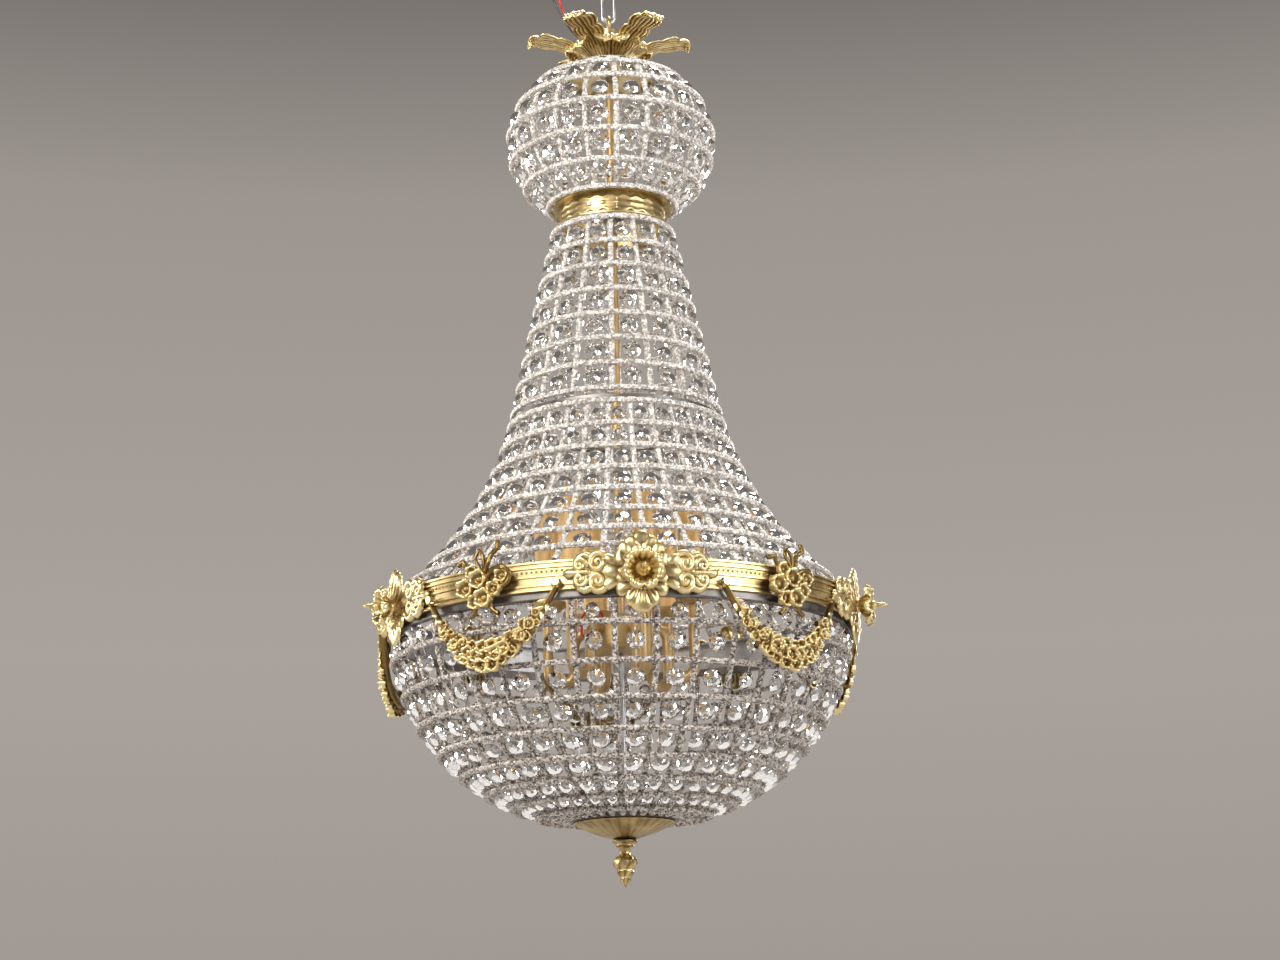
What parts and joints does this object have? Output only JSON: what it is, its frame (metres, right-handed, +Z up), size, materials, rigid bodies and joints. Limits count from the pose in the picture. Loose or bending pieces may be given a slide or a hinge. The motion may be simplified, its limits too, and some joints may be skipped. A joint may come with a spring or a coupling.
{
  "type": "crystal chandelier",
  "caption": "Bag-shaped hanging crystal chandelier with beaded ropes, cut crystals, a gilt leaf crown, a band with plaques, bows and swinging garlands, candle lamps and a finial.",
  "frame": {"origin": "inside top of the top link, where a ceiling hook carries the chandelier", "axes": "+Z up along the stem; -Y towards the viewer, at the front plaque; +X to the viewer's right"},
  "size_m": [0.5198, 0.5243, 1.0055],
  "materials": {
    "steel": "satin",
    "brass_cast": "cast and polished",
    "brass_sheet": "pressed and polished",
    "brass_aged": "dark lacquer",
    "sleeve_ivory": "matt",
    "rope_light": "small beads, glossy",
    "rope_dark": "small beads, glossy",
    "crystal": "cut and polished",
    "wire_red": "smooth",
    "wire_black": "smooth",
    "socket_plastic": "matt"
  },
  "bodies": {
    "hanger": {"top_link": "steel"},
    "link": {"bottom_link": "steel"},
    "festoon_1": {"garland_1": "brass_cast"},
    "festoon_2": {"garland_2": "brass_cast"},
    "festoon_3": {"garland_3": "brass_cast"},
    "festoon_4": {"garland_4": "brass_cast"},
    "festoon_5": {"garland_5": "brass_cast"},
    "finial_knob": {"finial": "brass_cast"},
    "chandelier": {"ball_crystals": "crystal", "ball_ribs": "rope_light", "ball_rings": "rope_light", "ball_top_plate": "steel", "band_screws": "steel", "bottom_cap": "brass_aged", "bottom_plate": "steel", "bottom_rod": "steel", "bow_1": "brass_cast", "bow_2": "brass_cast", "bow_3": "brass_cast", "bow_4": "brass_cast", "bow_5": "brass_cast", "bowl_crystals": "crystal", "bowl_ribs": "rope_dark", "bowl_rim": "steel", "bowl_rings": "rope_dark", "candle_sleeves": "sleeve_ivory", "collar_band": "brass_sheet", "collar_screws": "steel", "collar_sleeve": "brass_sheet", "collar_spider": "steel", "connector_block": "socket_plastic", "crown": "brass_cast", "flare_crystals": "crystal", "flare_ribs": "rope_light", "flare_rings": "rope_light", "garland_pins": "brass_cast", "hub_wires": "wire_red", "lamp_arms": "brass_aged", "lamp_cups": "brass_aged", "lamp_hub": "brass_aged", "lampholders": "socket_plastic", "lead_black": "wire_black", "lead_bush": "socket_plastic", "lead_red": "wire_red", "loop_nut": "brass_sheet", "main_band": "brass_sheet", "main_ring": "steel", "neck_crystals": "crystal", "neck_ribs": "rope_light", "neck_rings": "rope_light", "plaques": "brass_cast", "rod_hub": "steel", "rosettes": "brass_cast", "shoulder_hoop": "steel", "stem_nuts": "steel", "stem_tube": "brass_aged", "suspension_rods": "steel"}
  },
  "joints": [
    {"name": "link_swing", "type": "hinge", "parent": "hanger", "child": "link", "pos_m": [0, 0, -0.032], "axis": [0, 1, 0], "range_deg": [-20, 20]},
    {"name": "body_swing", "type": "hinge", "parent": "link", "child": "chandelier", "pos_m": [0, 0, -0.0617], "axis": [1, 0, 0], "range_deg": [-20, 20]},
    {"name": "garland_1_swing", "type": "hinge", "parent": "chandelier", "child": "festoon_1", "pos_m": [0.13513, -0.18599, -0.7294], "axis": [-0.809, -0.5878, 0], "range_deg": [0, 22]},
    {"name": "garland_2_swing", "type": "hinge", "parent": "chandelier", "child": "festoon_2", "pos_m": [0.21864, 0.07104, -0.7294], "axis": [0.309, -0.9511, 0], "range_deg": [0, 22]},
    {"name": "garland_3_swing", "type": "hinge", "parent": "chandelier", "child": "festoon_3", "pos_m": [0, 0.2299, -0.7294], "axis": [1, 0, 0], "range_deg": [0, 22]},
    {"name": "garland_4_swing", "type": "hinge", "parent": "chandelier", "child": "festoon_4", "pos_m": [-0.21864, 0.07104, -0.7294], "axis": [0.309, 0.9511, 0], "range_deg": [0, 22]},
    {"name": "garland_5_swing", "type": "hinge", "parent": "chandelier", "child": "festoon_5", "pos_m": [-0.13513, -0.18599, -0.7294], "axis": [-0.809, 0.5878, 0], "range_deg": [0, 22]},
    {"name": "finial_turn", "type": "hinge", "parent": "chandelier", "child": "finial_knob", "pos_m": [0, 0, -0.94349], "axis": [0, 0, 1], "continuous": true}
  ]
}
